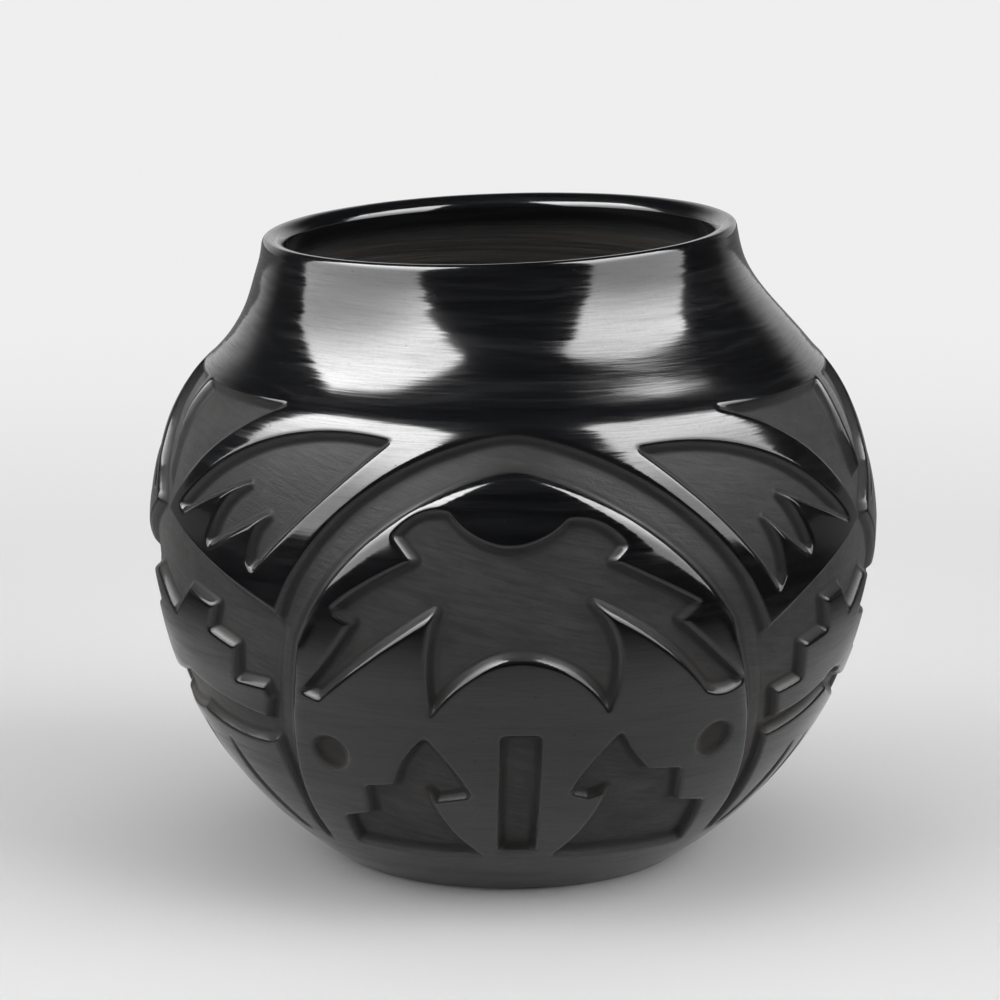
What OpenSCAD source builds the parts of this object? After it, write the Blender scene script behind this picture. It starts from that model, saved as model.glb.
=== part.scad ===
// A blackware jar with carved ornament, built up from rings of clay on a dished base.
// Each ring stands on a level shelf of the one below, and laps over its raised inner edge.
// Units are millimetres, +Z is up, and the jar stands on z = 0 round the Z axis.
// The front faces -Y, and angles round the jar are counted from there towards +X.

/* [Outline of the jar] */
// Height of the jar, from the floor to the top of the lip
jar_h = 225; // [215:1:250]
// Outer radius of the flat base
base_r = 63; // [56:1:70]
// Outer radius at the widest place
belly_r = 130; // [122:1:140]
// Height of the widest place
belly_z = 122; // [116:1:128]
// Outer radius where the shoulder turns up into the neck
shoulder_r = 108.5; // [104:0.5:113]
// Height at which the shoulder turns up into the neck
shoulder_z = 179; // [174:1:184]
// Rise of the shoulder there, in degrees from level
shoulder_tilt = 40; // [32:1:48]
// Outer radius of the neck at its top
rim_r = 84; // [78:1:92]

/* [Fullness of the curves] */
// How far the lower wall flares outwards before it turns up
foot_flare = 38; // [30:1:44]
// How far the lower wall rises over that flare
foot_rise = 25.5; // [20:0.5:32]
// Length of the straight pull of the curve below the widest place
belly_pull_down = 57; // [45:1:65]
// Length of the straight pull of the curve above the widest place
belly_pull_up = 12; // [8:1:20]
// Length of the straight pull of the curve below the turn of the shoulder
shoulder_pull_down = 21; // [14:1:26]
// Length of the straight pull of the curve above the turn of the shoulder
shoulder_pull_up = 8; // [5:1:12]
// Length of the straight pull of the curve at the top of the neck
neck_pull = 17; // [10:1:24]

/* [Wall] */
// Thickness of the wall, square to its surface
wall = 8.5; // [7:0.5:10]
// Thickness of the floor over the middle of the base
floor_t = 9; // [8:0.5:11]
// Depth of the hollow under the base
dish_depth = 3; // [1:0.5:4]
// Width of the ring that the jar stands on
rest_w = 17; // [10:1:24]
// Size of the slope between the floor and the wall inside
floor_fillet = 5; // [2:1:8]

/* [Rings of clay] */
// Height of the base dish, which is pressed in a shallow bowl
base_h = 36; // [30:1:40]
// Height of the last coil, which carries the lip
rim_h = 12; // [10:1:16]
// Rise of the lap between two rings, at the inside of the wall
lap = 4; // [2:0.5:6]
// How much further in than the carving the level shelf of the lap runs
shelf_margin = 1; // [0.5:0.5:2]

/* [Carving] */
// Depth of the carved ground under the polished surface
carve_depth = 3.5; // [2:0.5:4.5]
// Height of the lower edge of the carving
carve_low = 20; // [17:1:24]
// Height of the upper edge of the carving
carve_high = 176; // [172:1:178]
// Half of the front panel's width, in degrees round the jar
front_half = 69; // [64:1:74]
// Radius of the two round recesses in each panel
disc_r = 7; // [5:0.5:8]
// Width of the upright bar in the middle of each panel
bar_w = 13.2; // [10:0.2:16]

/* [Hidden] */
$fn = 96;
clay = "#1d1e22";
coil_count = 8;
chords = 3;
coil_h = (jar_h - base_h - rim_h) / coil_count;
lip_r = wall / 2;

// The panels are drawn on a flat sheet, in millimetres: x from the panel's middle line,
// and height from carve_low to carve_high as sheet_low to sheet_high.
sheet_half = 157;
sheet_low = 20;
sheet_high = 176;
arc_step = 14;
// How far the carved layer runs past the lowest and highest edges of the carving
carve_run = 2;
back_half = (180 - front_half) / 2;
back_middle = front_half + back_half;
reach = belly_r + 12;

// Outline: three cubic curves, from the base to the belly, the shoulder and the rim
function cubic(a, b, c, d, t) =
  pow(1 - t, 3) * a + 3 * pow(1 - t, 2) * t * b + 3 * (1 - t) * t * t * c + pow(t, 3) * d;
uphill = [-cos(shoulder_tilt), sin(shoulder_tilt)];
base_pt = [base_r, 0];
belly_pt = [belly_r, belly_z];
shoulder_pt = [shoulder_r, shoulder_z];
rim_pt = [rim_r, jar_h];
function lower(t) = cubic(base_pt, base_pt + [foot_flare, foot_rise],
                          belly_pt - [0, belly_pull_down], belly_pt, t);
function upper(t) = cubic(belly_pt, belly_pt + [0, belly_pull_up],
                          shoulder_pt - shoulder_pull_down * uphill, shoulder_pt, t);
function throat(t) = cubic(shoulder_pt, shoulder_pt + shoulder_pull_up * uphill,
                           rim_pt - [0, neck_pull], rim_pt, t);
fine = 24;
curve = [for (i = [0:fine - 1]) lower(i / fine), for (i = [0:fine - 1]) upper(i / fine),
         for (i = [0:fine]) throat(i / fine)];
radius_at = [for (p = curve) [p[1], p[0]]];

// Outer radius at a height, and the point at a depth under it, square to the wall
function skin_r(z) = lookup(z, radius_at);
function slope(z) = (skin_r(z + 1) - skin_r(z - 1)) / 2;
function square_out(z) = [1, -slope(z)] / sqrt(1 + pow(slope(z), 2));
function under(z, depth) = [skin_r(z), z] - depth * square_out(z);

// Radius of the carved floor and of the inside of the wall, at a height
floor_at = [for (p = curve) let (q = under(p[1], carve_depth)) [q[1], q[0]]];
inside_at = [for (p = curve) let (q = under(p[1], wall)) [q[1], q[0]]];
function floor_r(z) = lookup(z, floor_at);
function inside_r(z) = lookup(z, inside_at);

// Heights at which ring number i starts, counted from the base
function ring_z(i) = i == 0 ? 0 : base_h + (i - 1) * coil_h;
function steps(low, high) = [for (i = [0:chords]) low + (high - low) * i / chords];
function outer_side(low, high) = [for (z = steps(low, high)) [skin_r(z), z]];
function inner_side(high, low) = [for (z = steps(high, low)) [inside_r(z), z]];
function shelf_end(z) = [floor_r(z) - shelf_margin, z];

// Ring from one height to the next, with a shelf and a lap at both ends
module ring(low, high) {
  rotate_extrude()
    polygon(concat(outer_side(low, high), [shelf_end(high)],
                   inner_side(high + lap, low + lap), [shelf_end(low)]));
}

// Sheet to jar: x on the sheet becomes an angle, seen from the motif's own middle
function angle(x, half) = x * half / sheet_half;
function height(z) =
  carve_low + (z - sheet_low) * (carve_high - carve_low) / (sheet_high - sheet_low);
function on_jar(p, half, middle) =
  [skin_r(height(p[1])) * sin(angle(p[0], half) - angle(middle, half)), height(p[1])];

// A corner is [x, z, bulge]: the side to the next corner is an arc that stands
// out by bulge to the right of the way there, or straight where bulge is 0
function side_normal(a, b) = [b[1] - a[1], a[0] - b[0]] / norm([b[0] - a[0], b[1] - a[1]]);
function arc_point(a, b, t) =
  [a[0], a[1]] * (1 - t) + [b[0], b[1]] * t + 4 * t * (1 - t) * a[2] * side_normal(a, b);
function parts(a, b) =
  a[2] == 0 ? 1 : max(2, ceil(norm([b[0] - a[0], b[1] - a[1]]) / arc_step));
function traced(corners) = [
  for (i = [0:len(corners) - 1])
    let (a = corners[i], b = corners[(i + 1) % len(corners)], n = parts(a, b))
      for (k = [0:n - 1]) arc_point(a, b, k / n)];
function lowest(corners) = min([for (c = corners) height(c[1])]) - 1;
function highest(corners) = max([for (c = corners) height(c[1])]) + 1;

// Half outlines of one panel, to the right of its middle line
figure = [[0, 137, 2], [20, 148, -3], [40, 140, 0], [34, 133, -1], [64, 115, 0],
          [57, 110, 1], [83, 85, 0], [72, 82, 2], [26, 117, -4], [32, 80, 4],
          [0, 102, 0]];
cloud = [[36, 71, 1], [20, 48, 0], [31, 45, 0], [36, 47, -3.5], [18, 20, 0],
         [91, 20, 0], [84, 35, 0], [69, 38, 0], [64, 51, 0], [50, 53, -1]];
fan = [[46, 169, -12], [143, 135, -1], [105, 151, -2], [119, 127, 0], [94, 141, -2],
       [100, 119, 2]];
arch = [[-3, 174, 0], [0, 174, -16], [90, 105, 0], [105, 60, 0], [114, 20, 0],
        [112, 20, -2], [80, 105, 11], [0, 164, 0], [-3, 164, 0]];
ground = [[86, 103, -1], [148, 132, 7], [92, 176, 0], [150, 176, 0], [157, 149, 0],
          [159, 147, 0], [159, 104, 0], [157, 99, 0], [146, 110, 0], [130, 107, 0],
          [135, 96, 0], [119, 93, 0], [123, 80, 0], [106, 79, 0], [108, 68, 2],
          [157, 76, 0], [159, 73, 0], [159, 67, -2.5], [102, 60, 0], [95, 76, 0]];
slit = [[132, 53, -6], [126, 20, 0], [121, 20, 3]];
disc_at = [76, 62];
bar_low = 21;
bar_high = 72;

// Straight cutter through the wall under a motif, aimed at the motif's own middle
module cutter(middle, half) {
  rotate([0, 0, angle(middle, half)])
    rotate([90, 0, 0])
      linear_extrude(height = reach)
        children();
}
module motif(corners, middle, half, low, high) {
  if (lowest(corners) < high && highest(corners) > low)
    cutter(middle, half)
      polygon([for (p = traced(corners)) on_jar(p, half, middle)]);
}

// Right half of a panel's cutters; the left half is its mirror image
module half_panel(half, low, high) {
  motif(cloud, 54, half, low, high);
  motif(fan, 100, half, low, high);
  motif(arch, 50, half, low, high);
  motif(ground, 152, half, low, high);
  motif(slit, 124, half, low, high);
  if (height(disc_at[1]) - disc_r < high && height(disc_at[1]) + disc_r > low)
    cutter(disc_at[0], half)
      translate([0, height(disc_at[1])])
        polygon([for (a = [0:20:340]) disc_r * [cos(a), sin(a)]]);
}
module panel(half, low, high) {
  half_panel(half, low, high);
  mirror([1, 0, 0]) half_panel(half, low, high);
  if (lowest(figure) < high && highest(figure) > low)
    cutter(0, half) {
      right = [for (p = traced(figure)) if (p[0] > 0.01) on_jar(p, half, 0)];
      top = on_jar(figure[0], half, 0);
      bottom = on_jar(figure[len(figure) - 1], half, 0);
      left = [for (i = [len(right) - 1:-1:0]) [-right[i][0], right[i][1]]];
      polygon(concat([top], right, [bottom], left));
    }
  if (height(bar_low) < high && height(bar_high) > low)
    cutter(0, half)
      translate([-bar_w / 2, height(bar_low)])
        square([bar_w, height(bar_high) - height(bar_low)]);
}

// Layer of the wall that the carving takes away, between two heights
module carved_layer(low, high) {
  rotate_extrude()
    polygon(concat([[reach, low - 1], [reach, high + 1]],
                   [for (z = concat([high + 1], steps(high, low), [low - 1])) [floor_r(z), z]]));
}
module carving(low, high) {
  intersection() {
    carved_layer(low, high);
    union() {
      panel(front_half, low, high);
      for (side = [-1, 1])
        rotate([0, 0, side * back_middle]) panel(back_half, low, high);
    }
  }
}

// Base dish: pressed in a bowl, hollow underneath, with the floor inside
module base_dish() {
  floor_z = floor_t + dish_depth;
  color(clay)
    difference() {
      rotate_extrude()
        polygon(concat(
          [[0, dish_depth], [(base_r - rest_w) / 2, dish_depth * 0.75], [base_r - rest_w, 0]],
          outer_side(0, base_h), [shelf_end(base_h)],
          inner_side(base_h + lap, floor_z + floor_fillet),
          [[inside_r(floor_z) - floor_fillet, floor_z], [0, floor_z]]));
      carving(carve_low - carve_run, base_h);
    }
}

// Coils of the carved wall, from the foot up to the shoulder
module carved_coil(i) {
  color(clay)
    difference() {
      ring(ring_z(i), ring_z(i + 1));
      carving(ring_z(i), min(ring_z(i + 1), carve_high + carve_run));
    }
}
module foot_coil() { carved_coil(1); }
module lower_coil() { carved_coil(2); }
module flank_coil() { carved_coil(3); }
module belly_coil() { carved_coil(4); }
module girth_coil() { carved_coil(5); }
module shoulder_coil() { carved_coil(6); }
module collar_coil() { carved_coil(7); }

// Plain coil of the neck
module neck_coil() {
  color(clay) ring(ring_z(8), ring_z(9));
}

// Last coil, with the lip rounded over its whole thickness
module rim_coil() {
  low = ring_z(9);
  lip_z = jar_h - lip_r + lip_r * square_out(jar_h)[1];
  middle = under(lip_z, lip_r);
  turn = atan2(square_out(lip_z)[1], square_out(lip_z)[0]);
  color(clay)
    rotate_extrude()
      polygon(concat(
        outer_side(low, lip_z),
        [for (a = [20:20:160]) middle + lip_r * [cos(turn + a), sin(turn + a)]],
        inner_side(under(lip_z, wall)[1], low + lap), [shelf_end(low)]));
}

base_dish();
foot_coil();
lower_coil();
flank_coil();
belly_coil();
girth_coil();
shoulder_coil();
collar_coil();
neck_coil();
rim_coil();
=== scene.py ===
import bpy
import math
import numpy as np
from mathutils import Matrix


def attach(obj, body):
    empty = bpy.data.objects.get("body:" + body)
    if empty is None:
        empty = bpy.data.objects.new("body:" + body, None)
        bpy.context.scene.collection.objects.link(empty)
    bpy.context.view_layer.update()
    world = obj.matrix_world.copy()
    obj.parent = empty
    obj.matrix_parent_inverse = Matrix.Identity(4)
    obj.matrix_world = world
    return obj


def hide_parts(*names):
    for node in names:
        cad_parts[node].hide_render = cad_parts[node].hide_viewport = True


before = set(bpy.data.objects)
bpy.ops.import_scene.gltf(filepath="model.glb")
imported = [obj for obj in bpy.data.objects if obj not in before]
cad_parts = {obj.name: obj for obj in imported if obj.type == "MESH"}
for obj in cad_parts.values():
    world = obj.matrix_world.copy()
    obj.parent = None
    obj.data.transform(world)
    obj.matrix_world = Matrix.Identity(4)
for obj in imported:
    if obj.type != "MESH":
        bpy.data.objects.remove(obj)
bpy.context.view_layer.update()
print("CAD frame loaded")

# Lengths are in millimetres until a mesh is made, which is in metres.
# Angles round the jar are counted from the front (-Y) towards the viewer's right (+X).
metresPerMm = 0.001

jarShape = {
    "height": 225.0, "baseRadius": 63.0, "bellyRadius": 130.0, "bellyHeight": 122.0,
    "shoulderRadius": 108.5, "shoulderHeight": 179.0, "shoulderRise": 40.0, "rimRadius": 84.0,
    "footFlare": 38.0, "footRise": 25.5, "bellyPullDown": 57.0, "bellyPullUp": 12.0,
    "shoulderPullDown": 21.0, "shoulderPullUp": 8.0, "neckPull": 17.0,
    "wall": 8.5, "floorThickness": 9.0, "dishDepth": 3.0, "restWidth": 17.0, "floorSlope": 5.0,
    "footRounding": 1.8,  # how far the rounded edge of the base reaches along each side
    "lipCrown": 3.0,  # rise of the lip over the straight wall, highest near the outside
    "lipCorner": 1.9, "lipInnerDrop": 1.5,
    "cornerLean": 0.1, "cornerPull": 0.6, "crownPull": 0.4, "innerPull": 0.9,  # of the lip's curves
}
coilStack = {
    "baseHeight": 36.0, "rimHeight": 12.0, "coils": 8, "lap": 4.0,
    "shelfDepth": 3.5, "shelfInset": 1.0,  # how far in from the skin the shelves between rings end
}
meshFineness = {
    "columns": 1152, "carvedStep": 0.65, "plainStep": 1.4, "insideStep": 4.6,
    "carvedFrom": 16.0, "carvedTo": 179.0, "curveSteps": 400, "cornerSteps": 7, "lipSteps": 9,
    "poleRadius": 0.5, "restStep": 5.0,
    # Rings of the hollow underside: radius, and its share of the dish's depth
    "dishRings": [(8, 0.99), (16, 0.92), (24, 0.78), (32, 0.5), (40, 0.19)],
    "footSteps": (0.0, 0.25, 0.5, 0.75), "floorBendSteps": (0.0, 0.35, 0.7),
    "floorRings": (1.0, 0.75, 0.5, 0.25),
}
handMade = {
    "rimLean": -4.9, "leanFrom": 184.0, "leanTo": 214.0, "footLean": -1.6, "footLeanTo": 100.0,
    "rimRoll": 0.035, "rollFrom": 165.0, "rollTo": 222.0,
    "shoulderLean": 0.55, "shoulderAt": 179.0, "shoulderReach": 14.0,
    "swell": 0.8, "swellAt": 184.0, "dip": 0.3, "dipAt": 204.0, "swellReach": 10.5,
    "stillBelow": 1.0, "freeAbove": 9.0, "lipGive": 0.55,  # where the marks of the hand begin
}


def smoothStep(low, high, value):
    t = np.clip((value - low) / (high - low), 0.0, 1.0)
    return t * t * (3.0 - 2.0 * t)


def cubicPoints(a, b, c, d, count):
    t = np.linspace(0.0, 1.0, count)[:, None]
    return (1 - t) ** 3 * a + 3 * (1 - t) ** 2 * t * b + 3 * (1 - t) * t * t * c + t ** 3 * d


# The outside of the wall: three curves, from the base to the belly, the shoulder and the rim
def outsideCurve(shape, steps):
    rise = math.radians(shape["shoulderRise"])
    uphill = np.array([-math.cos(rise), math.sin(rise)])
    base = np.array([shape["baseRadius"], 0.0])
    belly = np.array([shape["bellyRadius"], shape["bellyHeight"]])
    shoulder = np.array([shape["shoulderRadius"], shape["shoulderHeight"]])
    rim = np.array([shape["rimRadius"], shape["height"]])
    up = np.array([0.0, 1.0])
    lower = cubicPoints(base, base + [shape["footFlare"], shape["footRise"]],
                        belly - shape["bellyPullDown"] * up, belly, steps)
    upper = cubicPoints(belly, belly + shape["bellyPullUp"] * up,
                        shoulder - shape["shoulderPullDown"] * uphill, shoulder, steps)
    throat = cubicPoints(shoulder, shoulder + shape["shoulderPullUp"] * uphill,
                         rim - shape["neckPull"] * up, rim, steps)
    return np.vstack([lower[:-1], upper[:-1], throat])


curve = outsideCurve(jarShape, meshFineness["curveSteps"])
alongCurve = np.gradient(curve, axis=0)
squareOut = np.stack([alongCurve[:, 1], -alongCurve[:, 0]], axis=1)
squareOut /= np.linalg.norm(squareOut, axis=1)[:, None]
curveLength = np.concatenate([[0.0], np.cumsum(np.linalg.norm(np.diff(curve, axis=0), axis=1))])


def outsideRadius(z):
    return np.interp(z, curve[:, 1], curve[:, 0])


def lengthAt(z):
    return np.interp(z, curve[:, 1], curveLength)


def heightAt(length):
    return np.interp(length, curveLength, curve[:, 1])


def radiusUnder(z, depth):
    sunk = curve - depth * squareOut
    return np.interp(z, sunk[:, 1], sunk[:, 0])


# Rows of the whole surface, from the middle of the underside, up the outside,
# over the lip and down the inside to the middle of the floor
def surfaceRows(shape, coils, fineness):
    rows = []
    marks = {}

    def add(r, z, kind):
        rows.append((r, z, kind))

    dish = shape["dishDepth"]
    restInner = shape["baseRadius"] - shape["restWidth"]
    add(fineness["poleRadius"], dish, "under")
    for r, share in fineness["dishRings"]:
        add(r, dish * share, "under")
    add(restInner, 0.0, "under")
    add(restInner + fineness["restStep"], 0.0, "under")
    corner = np.array([shape["baseRadius"], 0.0])
    back = corner - [shape["footRounding"], 0.0]
    flare = np.array([shape["footFlare"], shape["footRise"]])
    ahead = corner + shape["footRounding"] * flare / np.linalg.norm(flare)
    for t in fineness["footSteps"]:
        p = (1 - t) ** 2 * back + 2 * t * (1 - t) * corner + t * t * ahead
        add(p[0], p[1], "under")

    lipZ = shape["height"] - shape["lipCrown"]
    coilHeight = (shape["height"] - coils["baseHeight"] - coils["rimHeight"]) / coils["coils"]
    joints = [coils["baseHeight"] + i * coilHeight for i in range(coils["coils"] + 1)]
    stops = sorted([ahead[1], fineness["carvedFrom"], fineness["carvedTo"], lipZ] + joints)
    for low, high in zip(stops[:-1], stops[1:]):
        if low in joints:
            marks["outside", joints.index(low)] = len(rows)
        carved = low >= fineness["carvedFrom"] and high <= fineness["carvedTo"]
        step = fineness["carvedStep"] if carved else fineness["plainStep"]
        span = lengthAt(high) - lengthAt(low)
        count = max(1, round(span / step))
        for i in range(count):
            z = float(heightAt(lengthAt(low) + span * i / count))
            add(float(outsideRadius(z)), z, "skin")

    # The lip turns over sharply at its outer edge and slopes down to the inside
    crown = shape["lipCrown"]
    turnedIn = shape["lipCorner"]
    top = lipZ - shape["lipInnerDrop"]
    outer = np.array([float(outsideRadius(lipZ)), lipZ])
    peak = outer + [-turnedIn, crown]
    inner = np.array([float(radiusUnder(top, shape["wall"])), top])
    overCorner = cubicPoints(
        outer, outer + [-shape["cornerLean"] * turnedIn, shape["cornerPull"] * crown],
        peak + [shape["cornerPull"] * turnedIn, 0.0], peak, fineness["cornerSteps"] + 1)
    overLip = cubicPoints(
        peak, peak - [shape["crownPull"] * shape["wall"], 0.0],
        inner + [0.0, shape["innerPull"] * crown], inner, fineness["lipSteps"] + 1)
    for r, z in np.vstack([overCorner[:-1], overLip[:-1]]):
        add(r, z, "lip")

    floorZ = shape["floorThickness"] + shape["dishDepth"]
    bottom = floorZ + shape["floorSlope"]
    insideStops = [top] + [z + coils["lap"] for z in reversed(joints)] + [bottom]
    for i, (high, low) in enumerate(zip(insideStops[:-1], insideStops[1:])):
        if i:
            marks["inside", len(joints) - i] = len(rows)
        count = max(1, round((high - low) / fineness["insideStep"]))
        for k in range(count):
            z = high + (low - high) * k / count
            add(float(radiusUnder(z, shape["wall"])), z, "inside")
    edge = float(radiusUnder(floorZ, shape["wall"])) - shape["floorSlope"]
    lowest = float(radiusUnder(bottom, shape["wall"]))
    for t in fineness["floorBendSteps"]:
        add(lowest + (edge - lowest) * t, bottom + (floorZ - bottom) * (1 - (1 - t) ** 2), "inside")
    for share in fineness["floorRings"]:
        add(edge * share, floorZ, "inside")
    add(fineness["poleRadius"], floorZ, "inside")
    return rows, marks, joints, lipZ


rows, marks, joints, lipZ = surfaceRows(jarShape, coilStack, meshFineness)
rowRadius = np.array([row[0] for row in rows])
rowHeight = np.array([row[1] for row in rows])
rowKind = np.array([row[2] for row in rows])
farFromSkin = -1000.0
rowLength = np.where(rowKind == "skin", lengthAt(rowHeight), farFromSkin)
columns = meshFineness["columns"]
columnStep = 2 * math.pi / columns
print("rows of the wall:", len(rows), "columns:", columns)

# The carving is drawn on an unrolled sheet: millimetres along the belly from the panel's
# middle line, and height. A corner is [across, height, bulge]: the side to the next corner
# is an arc that stands out by bulge to the right of the way there.
sheet = {
    "mmPerDegree": 2.2689, "mirrorLow": 66.0, "mirrorHigh": 73.3,
    "mirrorFrom": 98.0, "mirrorTo": 145.0, "traceStep": 3.0,
    "easeReach": 6.0, "easeTimes": 8, "easeShare": 0.8, "margin": 14.0,
}
rightHalf = {
    "figure": [[-2, 137, 2], [19, 147, -3], [39, 138, 0], [34, 133, -0.4], [65, 116, 0],
               [58, 111, 0.3], [87, 86, -2.4], [71, 85, 2.8], [27, 119, -6], [34, 81, 4.8],
               [1, 102, 0]],
    "cloud": [[40, 72, 1.2], [24, 48, 0], [32, 46, 0], [39, 48, -3.3], [23, 20, 0.2],
              [101, 18, -0.3], [91, 37, 0], [75, 40, 0], [69, 54, 0], [54, 56, -0.7]],
    "archOuter": [[0, 174, -15.9], [95, 103, 0], [108, 64, 0], [114, 50, 0], [121, 33, 0],
                  [125, 19, 0]],
    "archInner": [[0, 164, -9.4], [80, 109, 1.7], [120, 19, 0]],
    "fan": [[46, 168, -12.4], [145, 132, 0], [105, 148, -1.2], [117, 129, 0], [116, 126, -0.7],
            [96, 141, -1.5], [103, 121, 0], [100, 116, 3.1]],
    "ground": [[90, 99, 0], [95, 102, -1.3], [157, 131, 8.3], [86, 177, 0], [160, 177, 1.9],
               [164, 148, 0], [166, 145, 0], [171, 143, 0], [158, 106, 0], [149.7, 98.7, 0],
               [140, 109.3, 0], [128, 107, 0], [132, 95.5, 0], [117.3, 93, 0], [121, 79.8, 0],
               [106.6, 77.6, 0], [111, 67.2, 1.6], [149.7, 76.5, 0], [156, 75.5, 0],
               [156, 69.5, 0], [149.7, 70, -1.5], [111, 60.5, 0], [104, 62, 0], [98, 80, 0]],
    "slit": [[141, 51, -6], [135, 20, 0], [129, 20, 3]],
    "disc": [80.3, 64.6],
}
leftHalf = {
    "figure": [[2, 137, 2.1], [22, 149, -3.4], [41, 141, 0], [34, 133, -1.2], [63, 114, 0],
               [56, 110, 1.2], [79, 83, 0], [72, 81, 0.8], [26, 116, -2.2], [29, 79, 2.3],
               [2, 102, 0]],
    "cloud": [[32, 70, 0.9], [16, 47, 0], [31, 44, 0], [33, 47, -3.8], [14, 20, 0.9],
              [81, 21, 0], [77, 33, 0], [63, 36, 0], [60, 48, 0], [47, 50, 1.6]],
    "archOuter": [[0, 174, -15.6], [86, 109, 0], [98, 61, 0], [98, 49, 0], [100, 36, 0],
                  [104, 27, 0], [106, 19, 0]],
    "archInner": [[0, 164, -12.2], [79, 100, 1.2], [103, 19, 0]],
    "fan": [[47, 170, -12.2], [143, 138, 0], [140, 136, 0.7], [105, 151, -2.9], [121, 130, 0],
            [120, 128, 0], [93, 142, -2.1], [99, 126, 0], [97, 123, 1]],
    "ground": [[82, 104, 0], [87, 109.5, -0.5], [155, 134, 5.7], [99, 177, 0], [162, 177, -1.8],
               [166, 140, 0], [171, 138, 0], [158, 106, 0], [149.7, 98.9, 0], [135, 110.3, 0],
               [118.2, 107, 0], [123.2, 97.6, 0], [109, 94, 0], [112.8, 81.2, 0], [97, 81.5, 0],
               [95.5, 76.7, 0], [99.6, 69.1, 0.8], [149.7, 76, 0], [156, 75, 0], [156, 62.5, 0],
               [149.7, 62.6, -1.8], [103.5, 59.5, 0], [95, 62, 0], [90, 80, 0]],
    "slit": [[135, 54, -5], [124, 20, 0], [118.7, 20, 3]],
    "disc": [71.9, 60.2],
}
carving = {
    "lip": 0.9, "bank": 1.8, "discRadius": 7.3, "discBank": 2.4, "discDepth": 0.55,
    "bar": [[-5.4, 70], [5.4, 70], [6.5, 23.4], [-5.7, 23.4]], "barCorner": 2.0, "frontBarAt": 3.4,
    "discFloor": -1.3, "discCorners": 24, "discWallRadius": 123.0,
    "grooveRise": 0.35, "grooveWidth": 9.0, "medallionRounding": 0.46, "medallionRim": 5.2,
    "medallionFall": 2.2, "medallionEdge": 2.0, "roundedFrom": 40.0, "roundedTo": 110.0,
    "cutBegins": 0.3, "cutFull": 0.9,  # no rounding where the wall is already cut this far
    "matteFrom": 0.8, "matteBlur": 1.1, "carveSoftening": 2, "matteSoftening": 1,
}


def tracedLine(corners, closed):
    points = []
    following = corners[1:] + ([corners[0]] if closed else [])
    for (x0, z0, bulge), (x1, z1, _) in zip(corners, following):
        length = math.hypot(x1 - x0, z1 - z0)
        count = max(1, round(length / sheet["traceStep"])) if bulge else 1
        for k in range(count):
            t = k / count
            aside = 4 * t * (1 - t) * bulge / length
            points.append((x0 + (x1 - x0) * t + aside * (z1 - z0),
                           z0 + (z1 - z0) * t - aside * (x1 - x0)))
    if not closed:
        points.append((corners[-1][0], corners[-1][1]))
    return points


def mirrorAngle(z):
    return np.interp(z, [sheet["mirrorFrom"], sheet["mirrorTo"]],
                     [sheet["mirrorLow"], sheet["mirrorHigh"]])


# Rounds an outline where its two halves meet on the middle line
def eased(outline, meetings):
    count = len(outline)
    weight = np.zeros(count)
    for at in meetings:
        gap = np.abs((np.arange(count) - at + 0.5 + count / 2) % count - count / 2)
        weight = np.maximum(weight, np.clip(1.0 - gap / sheet["easeReach"], 0.0, 1.0))
    for _ in range(sheet["easeTimes"]):
        middle = (np.roll(outline, 1, axis=0) + np.roll(outline, -1, axis=0)) / 2
        outline = outline + sheet["easeShare"] * weight[:, None] * (middle - outline)
    return outline


# A panel lies at the front (side 0), or at the back to the right (1) or left (-1), and each
# half is drawn from its middle line
class Panel:
    def __init__(self, side, leftDrawing, rightDrawing):
        self.side = side
        self.drawings = {-1: leftDrawing, 1: rightDrawing}

    def onWall(self, points, hand):
        x = np.array([p[0] for p in points], dtype=float) * hand
        z = np.array([p[1] for p in points], dtype=float)
        if self.side == 0:
            degrees = x / sheet["mmPerDegree"]
        else:
            mirror = mirrorAngle(z)
            middle = 90.0 + mirror / 2
            degrees = self.side * middle + x / (mirror * sheet["mmPerDegree"]) * (90.0 - mirror / 2)
        return np.stack([np.radians(degrees), lengthAt(z)], axis=1)

    def half(self, name, hand):
        return self.onWall(tracedLine(self.drawings[hand][name], True), hand)

    def halfLine(self, name, hand):
        return self.onWall(tracedLine(self.drawings[hand][name], False), hand)

    def whole(self, name):
        return eased(np.vstack([self.halfLine(name, 1), self.halfLine(name, -1)[::-1]]),
                     [0, len(self.halfLine(name, 1))])


panels = [
    Panel(0, leftHalf, rightHalf),
    Panel(1, rightHalf, rightHalf),
    Panel(-1, rightHalf, leftHalf),
]
margin = sheet["margin"]


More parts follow.
